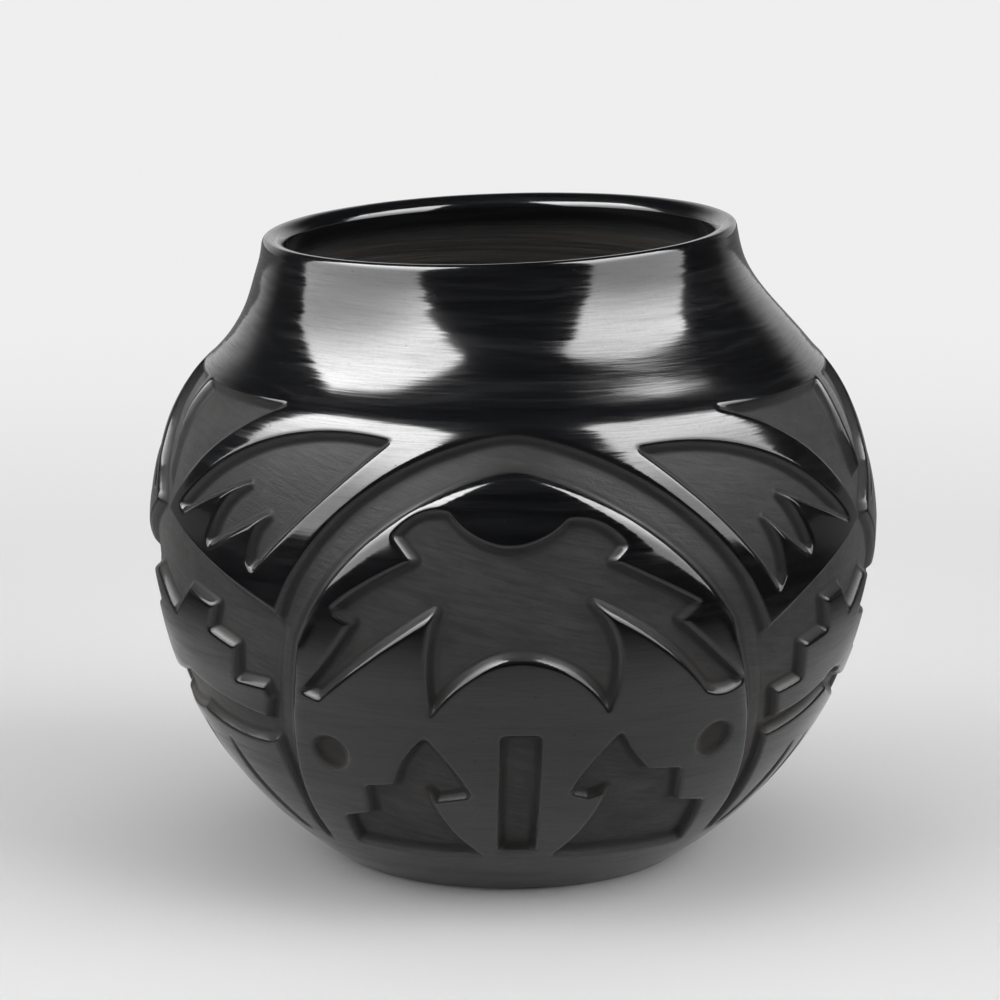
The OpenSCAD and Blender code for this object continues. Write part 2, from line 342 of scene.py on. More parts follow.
# Distance along the wall from each point to an outline, less than 0 inside it
def distanceTo(outline):
    near = np.flatnonzero((rowLength > outline[:, 1].min() - margin)
                          & (rowLength < outline[:, 1].max() + margin))
    spread = margin / rowRadius[near].min()
    first = math.floor((outline[:, 0].min() - spread) / columnStep)
    last = math.ceil((outline[:, 0].max() + spread) / columnStep)
    cols = np.arange(first, last + 1)
    radius = rowRadius[near][:, None].astype(np.float32)
    up = rowLength[near][:, None].astype(np.float32)
    across = radius * (cols * columnStep)[None, :].astype(np.float32)
    best = np.full(across.shape, 1e6, dtype=np.float32)
    inside = np.zeros(across.shape, dtype=bool)
    for (a0, s0), (a1, s1) in zip(outline, np.roll(outline, -1, axis=0)):
        x0 = radius * np.float32(a0)
        dx = radius * np.float32(a1) - x0
        dy = np.float32(s1 - s0)
        fromX = across - x0
        fromY = up - np.float32(s0)
        t = np.clip((fromX * dx + fromY * dy) / (dx * dx + dy * dy + 1e-9), 0, 1)
        best = np.minimum(best, (fromX - t * dx) ** 2 + (fromY - t * dy) ** 2)
        if s0 != s1:
            crossed = ((s0 > up) != (s1 > up)) & (fromX < fromY * dx / dy)
            inside ^= crossed
    return near, cols % columns, np.where(inside, -1, 1) * np.sqrt(best)


carve = np.zeros((len(rows), columns), dtype=np.float32)
edge = np.full((len(rows), columns), margin, dtype=np.float32)


def cut(found, bank, depth=1.0, floor=None, deepest=-margin):
    near, cols, d = found
    deep = depth * smoothStep(0.0, 1.0, (carving["lip"] - d) / (carving["lip"] + bank))
    if floor is not None:
        deep = deep * floor
    spot = np.ix_(near, cols)
    carve[spot] = np.maximum(carve[spot], deep)
    edge[spot] = np.minimum(edge[spot], np.maximum(d, deepest))


for panel in panels:
    inner = panel.whole("archInner")
    rimNear, rimCols, fromMedallion = distanceTo(inner)
    arch = np.vstack([panel.halfLine("archOuter", 1), panel.halfLine("archInner", 1)[::-1],
                      panel.halfLine("archInner", -1), panel.halfLine("archOuter", -1)[::-1]])
    halfCorners = len(panel.halfLine("archOuter", 1)) + len(panel.halfLine("archInner", 1))
    arch = eased(arch, [0, halfCorners])
    archNear, archCols, archGap = distanceTo(arch)
    toMedallion = np.full((len(rows), columns), margin, dtype=np.float32)
    toMedallion[np.ix_(rimNear, rimCols)] = fromMedallion
    slope = np.clip(toMedallion[np.ix_(archNear, archCols)] / carving["grooveWidth"], 0, 1)
    floor = 1 - carving["grooveRise"] * (1 - slope)
    cut((archNear, archCols, archGap), carving["bank"], 1.0, floor)
    cut(distanceTo(panel.whole("figure")), carving["bank"])
    barAt = carving["frontBarAt"] if panel.side == 0 else 0.0
    bar = panel.onWall([(x + barAt, z) for x, z in carving["bar"]], 1)
    barNear, barCols, barGap = distanceTo(bar)
    cut((barNear, barCols, barGap - carving["barCorner"]), carving["bank"])
    for hand in (-1, 1):
        for name in ("cloud", "fan", "ground", "slit"):
            cut(distanceTo(panel.half(name, hand)), carving["bank"])
        at = panel.onWall([panel.drawings[hand]["disc"]], hand)[0]
        turns = np.linspace(0, 2 * math.pi, carving["discCorners"] + 1)[:-1]
        ring = [(at[0] + carving["discRadius"] * math.cos(t) / carving["discWallRadius"],
                 at[1] + carving["discRadius"] * math.sin(t)) for t in turns]
        cut(distanceTo(np.array(ring)), carving["discBank"], carving["discDepth"],
            deepest=carving["discFloor"])
    onRim = np.where(
        fromMedallion < 0,
        np.clip(1 + fromMedallion / carving["medallionRim"], 0, 1) ** carving["medallionFall"],
        1 - np.clip(fromMedallion / carving["medallionEdge"], 0, 1))
    onRim *= smoothStep(carving["roundedFrom"], carving["roundedTo"], rowHeight[rimNear])[:, None]
    spot = np.ix_(rimNear, rimCols)
    uncut = 1 - smoothStep(carving["cutBegins"], carving["cutFull"], carve[spot])
    carve[spot] += carving["medallionRounding"] * onRim * uncut
print("carving drawn on the wall")


def softened(values, times):
    for _ in range(times):
        values = (np.roll(values, 1, axis=1) + 2 * values + np.roll(values, -1, axis=1)) / 4
        middle = (values[:-2] + 2 * values[1:-1] + values[2:]) / 4
        values = np.vstack([values[:1], middle, values[-1:]])
    return values


carve = softened(carve, carving["carveSoftening"])
matte = softened(smoothStep(0.0, 1.0, (carving["matteFrom"] - edge) / carving["matteBlur"]),
                 carving["matteSoftening"])

# Square-out directions of every row, in radius and height
profile = np.stack([rowRadius, rowHeight], axis=1)
run = np.gradient(profile, axis=0)
rowOut = np.stack([run[:, 1], -run[:, 0]], axis=1)
rowOut /= np.linalg.norm(rowOut, axis=1)[:, None]
angles = np.arange(columns) * columnStep
sine = np.sin(angles)[None, :]
cosine = np.cos(angles)[None, :]
positions = np.stack([rowRadius[:, None] * sine, -rowRadius[:, None] * cosine,
                      np.repeat(rowHeight[:, None], columns, axis=1)], axis=-1)
outward = np.stack([rowOut[:, :1] * sine, -rowOut[:, :1] * cosine,
                    np.repeat(rowOut[:, 1:], columns, axis=1)], axis=-1)
give = np.where(rowKind == "under", 0.0, 1.0)
give *= smoothStep(handMade["stillBelow"], handMade["freeAbove"], rowHeight)
give[rowKind == "lip"] = handMade["lipGive"]


def quadsOf(rowCount, columnCount, wrapRows=False):
    lowRow = np.arange(rowCount if wrapRows else rowCount - 1)
    highRow = (lowRow + 1) % rowCount
    here = np.arange(columnCount)
    right = (here + 1) % columnCount
    return np.stack([
        lowRow[:, None] * columnCount + here, lowRow[:, None] * columnCount + right,
        highRow[:, None] * columnCount + right, highRow[:, None] * columnCount + here,
    ], axis=-1).reshape(-1, 4)


def meshFrom(name, points, quads, triangles=None):
    corners = quads.reshape(-1)
    sizes = np.full(len(quads), 4)
    if triangles is not None:
        corners = np.concatenate([corners, triangles.reshape(-1)])
        sizes = np.concatenate([sizes, np.full(len(triangles), 3)])
    mesh = bpy.data.meshes.new(name)
    mesh.vertices.add(len(points))
    mesh.vertices.foreach_set("co", (points * metresPerMm).astype(np.float32).reshape(-1))
    mesh.loops.add(len(corners))
    mesh.loops.foreach_set("vertex_index", corners.astype(np.int32))
    mesh.polygons.add(len(sizes))
    starts = np.concatenate([[0], np.cumsum(sizes)[:-1]])
    mesh.polygons.foreach_set("loop_start", starts.astype(np.int32))
    mesh.update(calc_edges=True)
    mesh.polygons.foreach_set("use_smooth", np.ones(len(sizes), dtype=bool))
    return mesh


def addNumbers(mesh, name, values):
    layer = mesh.attributes.new(name, "FLOAT", "POINT")
    layer.data.foreach_set("value", values.astype(np.float32).reshape(-1))


# Rows where the surface turns a corner between a wall and a joint
def markCreases(mesh, rowNumbers, rowCount):
    ends = np.empty(len(mesh.edges) * 2, dtype=np.int32)
    mesh.edges.foreach_get("vertices", ends)
    ends = ends.reshape(-1, 2) // columns
    sharp = (ends[:, 0] == ends[:, 1]) & np.isin(ends[:, 0], np.array(rowNumbers) % rowCount)
    layer = mesh.attributes.new("sharp_edge", "BOOLEAN", "EDGE")
    layer.data.foreach_set("value", sharp)


# A socket that can be added, taken away and multiplied in a node tree
class Wire:
    def __init__(self, bench, socket):
        self.bench = bench
        self.socket = socket

    def worked(self, operation, first, second):
        return self.bench.node("ShaderNodeMath", {"operation": operation}, {0: first, 1: second})

    def __add__(self, other):
        return self.worked("ADD", self, other)

    def __radd__(self, other):
        return self.worked("ADD", other, self)

    def __sub__(self, other):
        return self.worked("SUBTRACT", self, other)

    def __rsub__(self, other):
        return self.worked("SUBTRACT", other, self)

    def __mul__(self, other):
        return self.worked("MULTIPLY", self, other)

    def __rmul__(self, other):
        return self.worked("MULTIPLY", other, self)


class Bench:
    def __init__(self, tree):
        self.tree = tree

    def node(self, kind, settings=None, sockets=None, output=0):
        made = self.tree.nodes.new(kind)
        for name, value in (settings or {}).items():
            setattr(made, name, value)
        for name, value in (sockets or {}).items():
            if isinstance(value, Wire):
                self.tree.links.new(value.socket, made.inputs[name])
            else:
                made.inputs[name].default_value = value
        return Wire(self, made.outputs[output]) if made.outputs else made

    def mixNumber(self, factor, low, high):
        return self.node("ShaderNodeMix", {"data_type": "FLOAT"}, {0: factor, 2: low, 3: high})

    def mixColour(self, factor, first, second):
        return self.node("ShaderNodeMix", {"data_type": "RGBA"}, {0: factor, 6: first, 7: second}, 2)

    def between(self, value, low, high):
        return self.node("ShaderNodeMapRange", {"interpolation_type": "SMOOTHSTEP"},
                         {"Value": value, "From Min": low, "From Max": high})


clayLook = {
    "polish": (0.0009, 0.00095, 0.00112, 1), "polishWorn": (0.0020, 0.0021, 0.0023, 1),
    # Painted reflection: a much lighter polish colour for the lower body, standing in for the pale
    # floor it mirrors
    "paintedFloorSheen": (0.026, 0.026, 0.0262, 1),
    "scraped": (0.021, 0.0208, 0.0205, 1), "scrapedPale": (0.037, 0.0365, 0.036, 1),
    # The darkest scraped colour on the next line is painted shade, laid into the corners of the
    # recesses; its strength is set further down
    "paintedCornerShade": (0.004, 0.0038, 0.0036, 1), "earth": (0.028, 0.0228, 0.0195, 1),
    "inside": (0.068, 0.0635, 0.060, 1), "insideDark": (0.028, 0.0262, 0.025, 1),
    "polishRoughness": 0.085, "polishSmear": 0.09, "speckRoughness": 0.12,
    "scrapedRoughness": 0.50, "grainRoughness": 0.12,
    "polishShine": 0.62, "scrapedShine": 0.16, "refraction": 1.5,
    "strokeTurn": 0.05, "smearTurn": 0.10, "scratches": 0.24, "smears": 0.13, "grains": 0.18,
    "specks": 0.45, "residue": 0.6, "paintedShadeAmount": 1.1, "alongEdges": 0.6,
    "polishEndsFrom": 4.0, "polishEndsTo": 15.0,  # millimetres down the inside of the lip
}
# Heights in metres of what the strokes and the grain leave on the surface
clayRelief = {
    "strokes": 0.000008, "broad": 0.000025, "scrapes": 0.00022, "scrapedGrain": 0.00009,
    "turned": 0.0009, "insideGrain": 0.00007,
}
# Noise drawn out along level strokes, by how often it changes in a metre across and up
strokePatterns = {
    "strokes": {"across": 34.0, "up": 1500.0, "detail": 3.0, "roughness": 0.6, "bend": 0.25},
    "broad": {"across": 16.0, "up": 190.0, "detail": 4.0, "roughness": 0.62, "bend": 0.6},
    "level": {"across": 60.0, "up": 430.0, "detail": 4.0, "roughness": 0.65, "bend": 0.8,
              "slant": 0.25},
    "turned": {"across": 9.0, "up": 420.0, "detail": 4.0, "roughness": 0.6, "bend": 0.4},
    "scratches": {"across": 60.0, "up": 2600.0, "detail": 3.0, "roughness": 0.7, "bend": 0.5},
}
alongPattern = {"fromEdge": 0.7, "across": 60.0, "up": 60.0, "detail": 3.0, "roughness": 0.6,
                "bend": 0.5}
# Noise that is alike in every direction
evenPatterns = {
    "specks": {"scale": 900.0, "detail": 2.0, "roughness": 0.5},
    "clouds": {"scale": 38.0, "detail": 4.0, "roughness": 0.6},
    "grain": {"scale": 900.0, "detail": 2.0, "roughness": 0.6},
}
# The values between which each mask goes from nothing to full
clayMasks = {
    "specks": (0.72, 0.78), "alongEdges": (-6.5, -2.5), "worn": (0.35, 0.75), "foot": (0.0, 0.07),
    "pale": (0.38, 0.64), "residueEdge": (-5.0, -1.4), "residueClouds": (0.45, 0.62),
    "residueHeight": (0.06, 0.13), "cornerInner": (-3.2, -1.6), "cornerOuter": (-1.0, 0.2),
    "turned": (0.38, 0.60), "scratches": (0.36, 0.80), "smears": (0.46, 0.70),
    "shine": (0.40, 0.72),
}


def clayMaterial(look):
    material = bpy.data.materials.new("burnishedClay")
    material.use_nodes = True
    material.node_tree.nodes.clear()
    b = Bench(material.node_tree)
    place = b.node("ShaderNodeTexCoord", output=3)
    scrapedMask = b.node("ShaderNodeAttribute", {"attribute_name": "matte"}, output=2)
    insideMask = b.node("ShaderNodeAttribute", {"attribute_name": "inner"}, output=2)
    fromEdge = b.node("ShaderNodeAttribute", {"attribute_name": "edge"}, output=2)
    split = b.node("ShaderNodeSeparateXYZ", sockets={0: place}).socket.node
    x = Wire(b, split.outputs[0])
    y = Wire(b, split.outputs[1])
    z = Wire(b, split.outputs[2])

    def drawnNoise(at, pattern):
        return b.node("ShaderNodeTexNoise", sockets={
            "Vector": at, "Scale": 1.0, "Detail": pattern["detail"],
            "Roughness": pattern["roughness"], "Distortion": pattern["bend"]})

    def strokeNoise(name):
        pattern = strokePatterns[name]
        height = z + x * pattern["slant"] if "slant" in pattern else z
        at = b.node("ShaderNodeCombineXYZ", sockets={
            0: x * pattern["across"], 1: y * pattern["across"], 2: height * pattern["up"]})
        return drawnNoise(at, pattern)

    def evenNoise(name):
        pattern = evenPatterns[name]
        return b.node("ShaderNodeTexNoise", sockets={
            "Vector": place, "Scale": pattern["scale"], "Detail": pattern["detail"],
            "Roughness": pattern["roughness"]})

    def masked(name, value):
        return b.between(value, *clayMasks[name])

    def larger(first, second):
        return b.node("ShaderNodeMath", {"operation": "MAXIMUM"}, {0: first, 1: second})

    # Burnishing strokes run level round the jar
    strokes = strokeNoise("strokes")
    broad = strokeNoise("broad")
    speckMask = masked("specks", evenNoise("specks"))

    # Scraping strokes follow the edges of each motif
    alongAt = b.node("ShaderNodeCombineXYZ", sockets={
        0: fromEdge * alongPattern["fromEdge"], 1: (x + y) * alongPattern["across"],
        2: z * alongPattern["up"]})
    alongEdge = drawnNoise(alongAt, alongPattern)
    level = strokeNoise("level")
    scrapes = b.mixNumber(masked("alongEdges", fromEdge) * look["alongEdges"], level, alongEdge)
    clouds = evenNoise("clouds")
    grain = evenNoise("grain")
    turned = strokeNoise("turned")

    polish = b.mixColour(masked("worn", broad), look["polish"], look["polishWorn"])
    # Painted reflection: towards the foot, below 70 mm, the polish colour is made much lighter,
    # standing in for the pale floor that the lower body mirrors
    polish = b.mixColour(1.0 - masked("foot", z), polish, look["paintedFloorSheen"])
    scraped = b.mixColour(masked("pale", scrapes * 0.6 + clouds * 0.4),
                          look["scraped"], look["scrapedPale"])
    residue = masked("residueEdge", fromEdge) * masked("residueClouds", clouds)
    residue = residue * (1.0 - masked("residueHeight", z)) * look["residue"]
    scraped = b.mixColour(residue, scraped, look["earth"])
    # Painted shade: the scraped clay is darkened in a band just inside the edge of each recess, where
    # its walls would shade it, in patches that follow the clouds noise
    corner = masked("cornerInner", fromEdge) * (1.0 - masked("cornerOuter", fromEdge))
    scraped = b.mixColour(corner * (clouds * look["paintedShadeAmount"]), scraped, look["paintedCornerShade"])
    inside = b.mixColour(masked("turned", turned), look["insideDark"], look["inside"])
    scraped = b.mixColour(insideMask, scraped, inside)
    bareMask = larger(scrapedMask, insideMask)
    bareColour = b.mixColour(bareMask, polish, scraped)

    # Fine scratches and specks break the polish
    broken = masked("scratches", strokeNoise("scratches")) * look["scratches"]
    broken = broken + speckMask * look["specks"] + masked("smears", broad) * look["smears"]
    broken = broken + (grain - 0.5) * look["grains"]
    dull = larger(bareMask, broken)
    smeared = masked("shine", strokes * 0.55 + broad * 0.45) * look["polishSmear"]
    shine = look["polishRoughness"] + smeared + speckMask * look["speckRoughness"]
    rough = look["scrapedRoughness"] + (grain - 0.5) * look["grainRoughness"]

    # Each stroke of the stone leaves a face turned a little to one side, round the jar
    sideways = b.node("ShaderNodeCombineXYZ", sockets={0: 0.0 - y, 1: x, 2: 0.0})
    sideways = b.node("ShaderNodeVectorMath", {"operation": "NORMALIZE"}, {0: sideways})
    aside = (strokes - 0.5) * look["strokeTurn"] + (broad - 0.5) * look["smearTurn"]
    turn = b.node("ShaderNodeVectorMath", {"operation": "SCALE"}, {0: sideways, "Scale": aside})
    facing = b.node("ShaderNodeNewGeometry", output=1)
    facing = b.node("ShaderNodeVectorMath", {"operation": "ADD"}, {0: facing, 1: turn})
    facing = b.node("ShaderNodeVectorMath", {"operation": "NORMALIZE"}, {0: facing})
    polishHeight = strokes * clayRelief["strokes"] + broad * clayRelief["broad"]
    polishBump = b.node("ShaderNodeBump", sockets={
        "Strength": 1.0, "Distance": 1.0, "Height": polishHeight, "Normal": facing})
    scrapedHeight = b.mixNumber(
        insideMask, scrapes * clayRelief["scrapes"] + grain * clayRelief["scrapedGrain"],
        turned * clayRelief["turned"] + grain * clayRelief["insideGrain"])
    scrapedBump = b.node("ShaderNodeBump", sockets={
        "Strength": 1.0, "Distance": 1.0, "Height": scrapedHeight})
    polished = b.node("ShaderNodeBsdfPrincipled", sockets={
        "Base Color": polish, "Roughness": shine, "Normal": polishBump,
        "IOR": look["refraction"], "Specular IOR Level": look["polishShine"]})
    bare = b.node("ShaderNodeBsdfPrincipled", sockets={
        "Base Color": bareColour, "Roughness": rough, "Normal": scrapedBump,
        "IOR": look["refraction"], "Specular IOR Level": look["scrapedShine"]})
    clayShader = b.node("ShaderNodeMixShader", sockets={0: dull, 1: polished, 2: bare})
    b.node("ShaderNodeOutputMaterial", sockets={"Surface": clayShader})
    return material


clay = clayMaterial(clayLook)
print("clay material ready")

wallMaking = {
    "Carve Depth": 0.0033, "Hand Wobble": 0.0007, "Wobble Scale": 26.0,
    "Palm Wobble": 0.0010, "Palm Scale": 9.0,
    "Scrape Depth": 0.00045, "Scrape Scale": 95.0, "Seed": 4.0,
}
noiseShifts = {"wobble": 0.0, "palm": 7.0, "scrape": 3.0}


# Geometry nodes that press the carving into the wall and leave the marks of the hand
def carvedWallTree(material):
    tree = bpy.data.node_groups.new("carvedWall", "GeometryNodeTree")
    tree.interface.new_socket("Geometry", in_out="INPUT", socket_type="NodeSocketGeometry")
    for name in wallMaking:
        tree.interface.new_socket(name, in_out="INPUT", socket_type="NodeSocketFloat")
    tree.interface.new_socket("Geometry", in_out="OUTPUT", socket_type="NodeSocketGeometry")
    b = Bench(tree)
    inputs = b.node("NodeGroupInput").socket.node
    wired = {s.name: Wire(b, s) for s in inputs.outputs if s.name}
    kind = "GeometryNodeInputNamedAttribute"
    outwardWay = b.node(kind, {"data_type": "FLOAT_VECTOR"}, {0: "outward"})
    carved = b.node(kind, {"data_type": "FLOAT"}, {0: "carve"})
    dull = b.node(kind, {"data_type": "FLOAT"}, {0: "matte"})
    yielding = b.node(kind, {"data_type": "FLOAT"}, {0: "give"})

    def noise(scale, detail, shift):
        return b.node("ShaderNodeTexNoise", {"noise_dimensions": "4D"}, {
            "W": wired["Seed"] + shift, "Scale": wired[scale], "Detail": detail,
            "Roughness": 0.5}) - 0.5

    wobble = noise("Wobble Scale", 1.0, noiseShifts["wobble"]) * wired["Hand Wobble"]
    palm = noise("Palm Scale", 0.0, noiseShifts["palm"]) * wired["Palm Wobble"]
    scrape = noise("Scrape Scale", 2.0, noiseShifts["scrape"]) * wired["Scrape Depth"] * dull
    push = (wobble + palm + scrape) * yielding - carved * wired["Carve Depth"]
    offset = b.node("ShaderNodeVectorMath", {"operation": "SCALE"},
                    {0: outwardWay, "Scale": push})
    moved = b.node("GeometryNodeSetPosition", sockets={"Geometry": wired["Geometry"],
                                                       "Offset": offset})
    real = b.node("GeometryNodeRealizeInstances", sockets={"Geometry": moved})
    done = b.node("GeometryNodeSetMaterial", sockets={"Geometry": real, "Material": material})
    b.node("NodeGroupOutput", sockets={0: done})
    return tree


def handWorked():
    mesh = meshFrom("wallSheet", positions.reshape(-1, 3), quadsOf(len(rows), columns))
    layer = mesh.attributes.new("outward", "FLOAT_VECTOR", "POINT")
    layer.data.foreach_set("vector", outward.astype(np.float32).reshape(-1))
    addNumbers(mesh, "carve", carve)
    addNumbers(mesh, "matte", matte)
    addNumbers(mesh, "give", np.repeat(give[:, None], columns, axis=1))
    blank = bpy.data.objects.new("wallSheet", mesh)
    bpy.context.scene.collection.objects.link(blank)
    tree = carvedWallTree(clay)
    modifier = blank.modifiers.new("carvedWall", "NODES")
    modifier.node_group = tree
    for item in tree.interface.items_tree:
        if item.in_out == "INPUT" and item.name in wallMaking:
            modifier[item.identifier] = wallMaking[item.name]
    blank.update_tag()
    graph = bpy.context.evaluated_depsgraph_get()
    worked = bpy.data.meshes.new_from_object(blank.evaluated_get(graph))
    found = np.empty(len(rows) * columns * 3, dtype=np.float32)
    worked.vertices.foreach_get("co", found)
    bpy.data.objects.remove(blank)
    bpy.data.meshes.remove(mesh)
    bpy.data.meshes.remove(worked)
    return found.reshape(len(rows), columns, 3).astype(float) / metresPerMm


def hump(z, middle, reach):
    return np.exp(-((z - middle) / reach) ** 2)


# The real jar leans a little, its rim is rolled to one side and its neck springs off full
def leaned(points):
    p = points.copy()
    z = points[..., 2]
    hand = handMade
    radius = np.maximum(np.hypot(points[..., 0], points[..., 1]), 1.0)
    fuller = (hand["swell"] * hump(z, hand["swellAt"], hand["swellReach"])
              - hand["dip"] * hump(z, hand["dipAt"], hand["swellReach"]))
    p[..., :2] *= (1 + fuller / radius)[..., None]
    p[..., 0] += hand["footLean"] * (1 - smoothStep(0.0, hand["footLeanTo"], z))
    p[..., 0] += hand["shoulderLean"] * hump(z, hand["shoulderAt"], hand["shoulderReach"])
    p[..., 0] += hand["rimLean"] * smoothStep(hand["leanFrom"], hand["leanTo"], z)
    rolled = smoothStep(hand["rollFrom"], hand["rollTo"], z)
    p[..., 2] += hand["rimRoll"] * points[..., 0] * rolled
    return p


def gridNormals(grid):
    across = np.roll(grid, -1, axis=1) - np.roll(grid, 1, axis=1)
    up = np.gradient(grid, axis=0)
    n = np.cross(across, up)
    return n / np.maximum(np.linalg.norm(n, axis=-1, keepdims=True), 1e-9)


wallGrid = leaned(handWorked())
wallNormals = gridNormals(wallGrid)
wallNormals[0] = (0, 0, -1)
wallNormals[-1] = (0, 0, 1)
print("wall worked by hand:", wallGrid.shape)

belowLip = smoothStep(clayLook["polishEndsFrom"], clayLook["polishEndsTo"], lipZ - rowHeight)
insideDepth = np.where(rowKind == "inside", belowLip, 0.0)


def levelRing(radius, z):
    ring = np.stack([radius * np.sin(angles), -radius * np.cos(angles),
                     np.full(columns, float(z))], axis=-1)
    return leaned(ring)


def shelfRing(number):
    z = joints[number]
    return levelRing(float(radiusUnder(z, coilStack["shelfDepth"])) - coilStack["shelfInset"], z)


# Each ring of clay: its outside, the shelf and lap above it, its inside, and the lap below
def clayRing(name, node, first, last):
    below = None if first < 0 else first
    above = None if last > len(joints) - 1 else last
    outFrom = 0 if below is None else marks["outside", below]
    outTo = len(rows) - 1 if above is None else marks["outside", above]
    blocks = []

    def surface(low, high):
        blocks.append((wallGrid[low:high + 1], wallNormals[low:high + 1],
                       matte[low:high + 1], edge[low:high + 1],
                       np.repeat(insideDepth[low:high + 1, None], columns, axis=1)))

    # A joint face between a row of the wall, given by its number, and the foot of the lap
    def hidden(*ends):
        grid = np.stack([wallGrid[end] if isinstance(end, int) else end for end in ends])
        known = [(matte[end], edge[end], np.full(columns, insideDepth[end]))
                 if isinstance(end, int) else (np.ones(columns), np.zeros(columns), np.zeros(columns))
                 for end in ends]
        blocks.append((grid, gridNormals(grid)) + tuple(np.stack(part) for part in zip(*known)))

    if above is None:
        surface(outFrom, marks["inside", below])
    else:
        inFrom = marks["inside", above]
        inTo = len(rows) - 1 if below is None else marks["inside", below]
        shelf = shelfRing(above)
        surface(outFrom, outTo)
        hidden(outTo, shelf)
        hidden(shelf, inFrom)
        surface(inFrom, inTo)
    if below is not None:
        shelf = shelfRing(below)
        hidden(marks["inside", below], shelf)
        hidden(shelf, outFrom)
    closed = below is not None
    creases = np.cumsum([0] + [len(block[0]) - 1 for block in blocks])

    points = np.concatenate([block[0][:-1] for block in blocks]
                            + ([] if closed else [blocks[-1][0][-1:]]))
    numbers = [np.concatenate([block[i][:-1] for block in blocks]
                              + ([] if closed else [blocks[-1][i][-1:]])) for i in (2, 3, 4)]
    low = np.concatenate([block[1][:-1] for block in blocks])
    high = np.concatenate([block[1][1:] for block in blocks])
    quads = quadsOf(len(points), columns, closed)
    corner = np.stack([low, np.roll(low, -1, axis=1), np.roll(high, -1, axis=1), high], axis=2)
    normals = corner.reshape(-1, 3)
    flat = points.reshape(-1, 3)
    triangles = None
    if not closed:
        here = np.arange(columns)
        right = (here + 1) % columns
        bottom = len(flat)
        top = bottom + 1
        lastRow = (len(points) - 1) * columns
        flat = np.vstack([flat, flat[:columns].mean(axis=0), flat[lastRow:].mean(axis=0)])
        under = np.stack([right, here, np.full(columns, bottom)], axis=1)
        over = np.stack([lastRow + here, lastRow + right, np.full(columns, top)], axis=1)
        triangles = np.vstack([under, over])
        normals = np.vstack([normals, np.tile((0, 0, -1.0), (columns * 3, 1)),
                             np.tile((0, 0, 1.0), (columns * 3, 1))])
        numbers = [np.concatenate([n.reshape(-1), n[0, :1], n[-1, :1]]) for n in numbers]
    mesh = meshFrom(name, flat, quads, triangles)
    for label, values in zip(("matte", "edge", "inner"), numbers):
        addNumbers(mesh, label, values)
    markCreases(mesh, creases if closed else creases[1:-1], len(points))
    mesh.normals_split_custom_set(normals.astype(np.float32))
    mesh.materials.append(clay)
    piece = bpy.data.objects.new(name, mesh)
    bpy.context.scene.collection.objects.link(piece)
    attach(piece, "root")
    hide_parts(node)
    print(name, "faces:", len(mesh.polygons))


ringNames = [
    ("clayBase", "base_dish"), ("clayFoot", "foot_coil"), ("clayLower", "lower_coil"),
    ("clayFlank", "flank_coil"), ("clayBelly", "belly_coil"), ("clayGirth", "girth_coil"),
    ("clayShoulder", "shoulder_coil"), ("clayCollar", "collar_coil"), ("clayNeck", "neck_coil"),
    ("clayRim", "rim_coil"),
]
for number, (name, node) in enumerate(ringNames):
    clayRing(name, node, number - 1, number)

# Studio: a pale floor, a pale surround, and one large soft box on either side
studio = {
    "floorColour": (0.72, 0.72, 0.72, 1), "floorSize": 14.0, "floorRoughness": 0.8,
    "surroundSeen": 0.86, "surroundSide": 1.2, "surroundTop": 0.6,
    "surroundFront": 0.27, "surroundAcross": 0.5, "surroundBack": 0.15,
    "surroundDark": 0.0035, "surroundLow": 0.05, "surroundBehind": 0.8,
    "boxDistance": 1.35, "boxFade": 0.04, "boxAim": 0.19,
    "topHeight": 1.8, "topSize": 1.6, "topRadiance": 1.5,
    "paperNear": (0.68, 0.68, 0.68, 1), "paperFar": (0.86, 0.86, 0.86, 1),
    "shadowReach": 0.22, "paperReach": 0.6, "paperDepth": 1.1,
    "mirroredNear": 0.20, "mirroredFar": 0.42, "behindFrom": 0.08, "behindTo": 0.45,
    "mirroredDark": (0.02, 0.02, 0.02, 1), "mirroredBehind": (0.22, 0.22, 0.22, 1),
}
# The lit part of a box has slanted edges: each is given by its place at the middle of the box
# and its slope, as seen from the jar, in units of the distance to the box
softBoxes = [
    {"name": "leftBox", "angle": -70.0, "rise": 22.0, "wide": 92.0, "tall": 86.0,
     "topEdge": (0.66, 0.384), "bottomEdge": (-0.36, 0.0),
     "leftEdge": (-0.58, 0.38), "rightEdge": (0.66, -0.05),
     "low": 4.3, "high": 17.5, "brightFrom": -0.16, "brightTo": 0.49, "fill": 1.55},
    {"name": "rightBox", "angle": 64.0, "rise": 21.0, "wide": 92.0, "tall": 86.0,
     "topEdge": (0.74, -0.5), "bottomEdge": (-0.38, 0.0),
     "leftEdge": (-0.42, 0.06), "rightEdge": (0.56, -0.15),
     "low": 3.8, "high": 12.5, "brightFrom": -0.16, "brightTo": 0.45, "fill": 1.6},
]


def pointAt(angle, rise, distance, middle):
    a = math.radians(angle)
    e = math.radians(rise)
    return (middle[0] + distance * math.cos(e) * math.sin(a),
            middle[1] - distance * math.cos(e) * math.cos(a),
            middle[2] + distance * math.sin(e))


